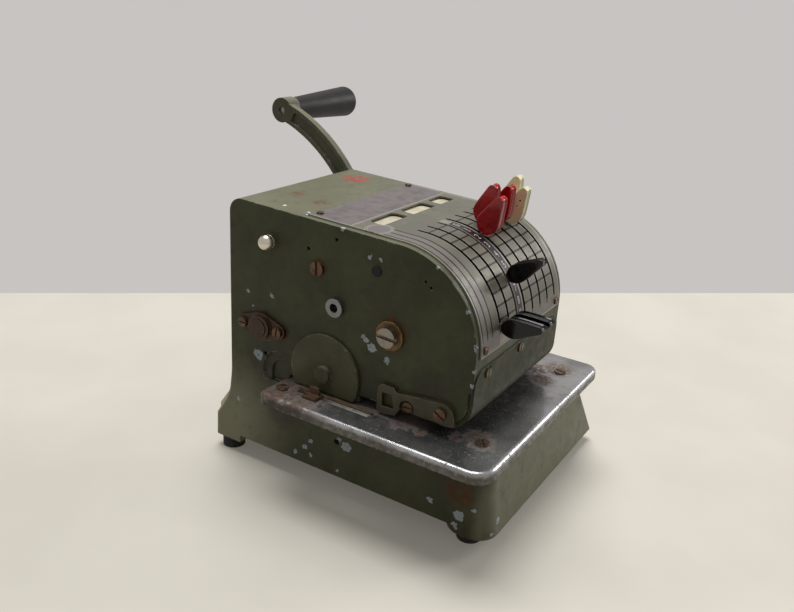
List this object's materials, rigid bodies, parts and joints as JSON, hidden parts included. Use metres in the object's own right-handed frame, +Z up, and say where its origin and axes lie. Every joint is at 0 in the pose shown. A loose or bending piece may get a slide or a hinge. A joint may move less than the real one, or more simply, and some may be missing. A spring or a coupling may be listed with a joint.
{
  "type": "check writer",
  "caption": "Vintage desk check writer: cast metal body, slotted scale drum with coloured digit levers, metal table and side crank with grip.",
  "frame": {"origin": "on the surface the machine stands on, under the middle of its outer box", "axes": "+X to the operator's right along the lever shaft, +Y towards the back, +Z up; the digit levers face -Y"},
  "size_m": [0.211, 0.2474, 0.2002],
  "materials": {
    "casting_enamel": "satin",
    "cover_enamel": "satin",
    "plate_enamel": "satin",
    "table_steel": "brushed",
    "steel": "machined",
    "old_steel": "rusty",
    "blued_steel": "dark",
    "red_plastic": "gloss",
    "cream_plastic": "gloss",
    "black_plastic": "gloss",
    "grip_plastic": "satin",
    "rubber": "matte",
    "card": "matte",
    "felt": "felt",
    "tan_strip": "worn"
  },
  "bodies": {
    "frame": {"main_casting": "casting_enamel", "rear_panel": "cover_enamel", "rear_panel_screws": "old_steel", "scale_plate": "plate_enamel", "scale_plate_screws": "steel", "window_card": "card", "front_cover": "cover_enamel", "front_cover_screws": "steel", "table_plate": "table_steel", "table_screws": "old_steel", "guide_strip": "tan_strip", "rubber_feet": "rubber", "bearing_flanges": "casting_enamel", "flange_screws": "old_steel", "lever_shaft": "steel", "shaft_washers": "steel", "shaft_screws": "steel", "tie_rod": "steel", "tie_nuts": "steel", "side_screws": "old_steel", "ring_bushes": "steel", "hole_plug": "steel", "guide_bracket": "casting_enamel", "bracket_screws": "steel", "ink_cover": "casting_enamel", "ink_spindle": "steel", "lever_spacers": "steel", "detent_comb": "blued_steel", "return_spring": "blued_steel", "rocker_shaft": "steel"},
    "gauge": {"gauge_slide": "steel"},
    "ink": {"ink_roller": "felt"},
    "crank": {"crank_shaft": "steel", "crank_arm": "cover_enamel", "crank_screw": "old_steel", "grip_pin": "steel", "lift_cam": "blued_steel"},
    "grip": {"crank_grip": "grip_plastic"},
    "rocker": {"platen_rocker": "casting_enamel"},
    "follower": {"follower_roller": "steel"},
    "platen": {"platen_bar": "steel"},
    "lever_1": {"digit_lever_1": "blued_steel", "lever_knob_1": "black_plastic"},
    "lever_2": {"digit_lever_2": "blued_steel", "lever_knob_2": "black_plastic"},
    "lever_3": {"digit_lever_3": "blued_steel", "lever_knob_3": "black_plastic"},
    "lever_4": {"digit_lever_4": "blued_steel", "lever_knob_4": "red_plastic"},
    "lever_5": {"digit_lever_5": "blued_steel", "lever_knob_5": "red_plastic"},
    "lever_6": {"digit_lever_6": "blued_steel", "lever_knob_6": "red_plastic"},
    "lever_7": {"digit_lever_7": "blued_steel", "lever_knob_7": "cream_plastic"},
    "lever_8": {"digit_lever_8": "blued_steel", "lever_knob_8": "cream_plastic"}
  },
  "joints": [
    {"name": "set_digit_1", "type": "hinge", "parent": "frame", "child": "lever_1", "pos_m": [-0.0582, -0.0514, 0.1085], "axis": [1, 0, 0], "range_deg": [-70.6, 0]},
    {"name": "set_digit_2", "type": "hinge", "parent": "frame", "child": "lever_2", "pos_m": [-0.0482, -0.0514, 0.1085], "axis": [1, 0, 0], "range_deg": [-70.6, 0]},
    {"name": "set_digit_3", "type": "hinge", "parent": "frame", "child": "lever_3", "pos_m": [-0.0382, -0.0514, 0.1085], "axis": [1, 0, 0], "range_deg": [-47, 23.56]},
    {"name": "set_digit_4", "type": "hinge", "parent": "frame", "child": "lever_4", "pos_m": [-0.0282, -0.0514, 0.1085], "axis": [1, 0, 0], "range_deg": [-15.7, 54.86]},
    {"name": "set_digit_5", "type": "hinge", "parent": "frame", "child": "lever_5", "pos_m": [-0.0182, -0.0514, 0.1085], "axis": [1, 0, 0], "range_deg": [-7.8, 62.76]},
    {"name": "set_digit_6", "type": "hinge", "parent": "frame", "child": "lever_6", "pos_m": [-0.0082, -0.0514, 0.1085], "axis": [1, 0, 0], "range_deg": [-11.7, 58.86]},
    {"name": "set_digit_7", "type": "hinge", "parent": "frame", "child": "lever_7", "pos_m": [0.0018, -0.0514, 0.1085], "axis": [1, 0, 0], "range_deg": [-15.7, 54.86]},
    {"name": "set_digit_8", "type": "hinge", "parent": "frame", "child": "lever_8", "pos_m": [0.0118, -0.0514, 0.1085], "axis": [1, 0, 0], "range_deg": [-7.8, 62.76]},
    {"name": "pull_crank", "type": "hinge", "parent": "frame", "child": "crank", "pos_m": [0.034, 0.0332, 0.0904], "axis": [1, 0, 0], "range_deg": [0, 60], "stiffness_Nm_per_rad": 0.15, "springref_deg": -40.11},
    {"name": "turn_grip", "type": "hinge", "parent": "crank", "child": "grip", "pos_m": [0.072, 0.1135, 0.1896], "axis": [1, 0, 0], "continuous": true},
    {"name": "rock_platen_lever", "type": "hinge", "parent": "frame", "child": "rocker", "pos_m": [-0.03, -0.003, 0.0404], "axis": [1, 0, 0], "range_deg": [-5.6, 0]},
    {"name": "turn_follower", "type": "hinge", "parent": "rocker", "child": "follower", "pos_m": [-0.03, 0.0292, 0.0759], "axis": [1, 0, 0], "continuous": true},
    {"name": "raise_platen", "type": "slide", "parent": "frame", "child": "platen", "axis": [0, 0, 1], "range_m": [0, 0.0048]},
    {"name": "turn_ink_roller", "type": "hinge", "parent": "frame", "child": "ink", "pos_m": [-0.0298, -0.0115, 0.0749], "axis": [1, 0, 0], "continuous": true},
    {"name": "slide_gauge", "type": "slide", "parent": "frame", "child": "gauge", "axis": [0, 1, 0], "range_m": [-0.03, 0.006]}
  ],
  "couplings": [
    {"joint": "rock_platen_lever", "follows": "pull_crank", "ratio": -0.0922},
    {"joint": "raise_platen", "follows": "pull_crank", "m_per_rad": 0.00445}
  ]
}
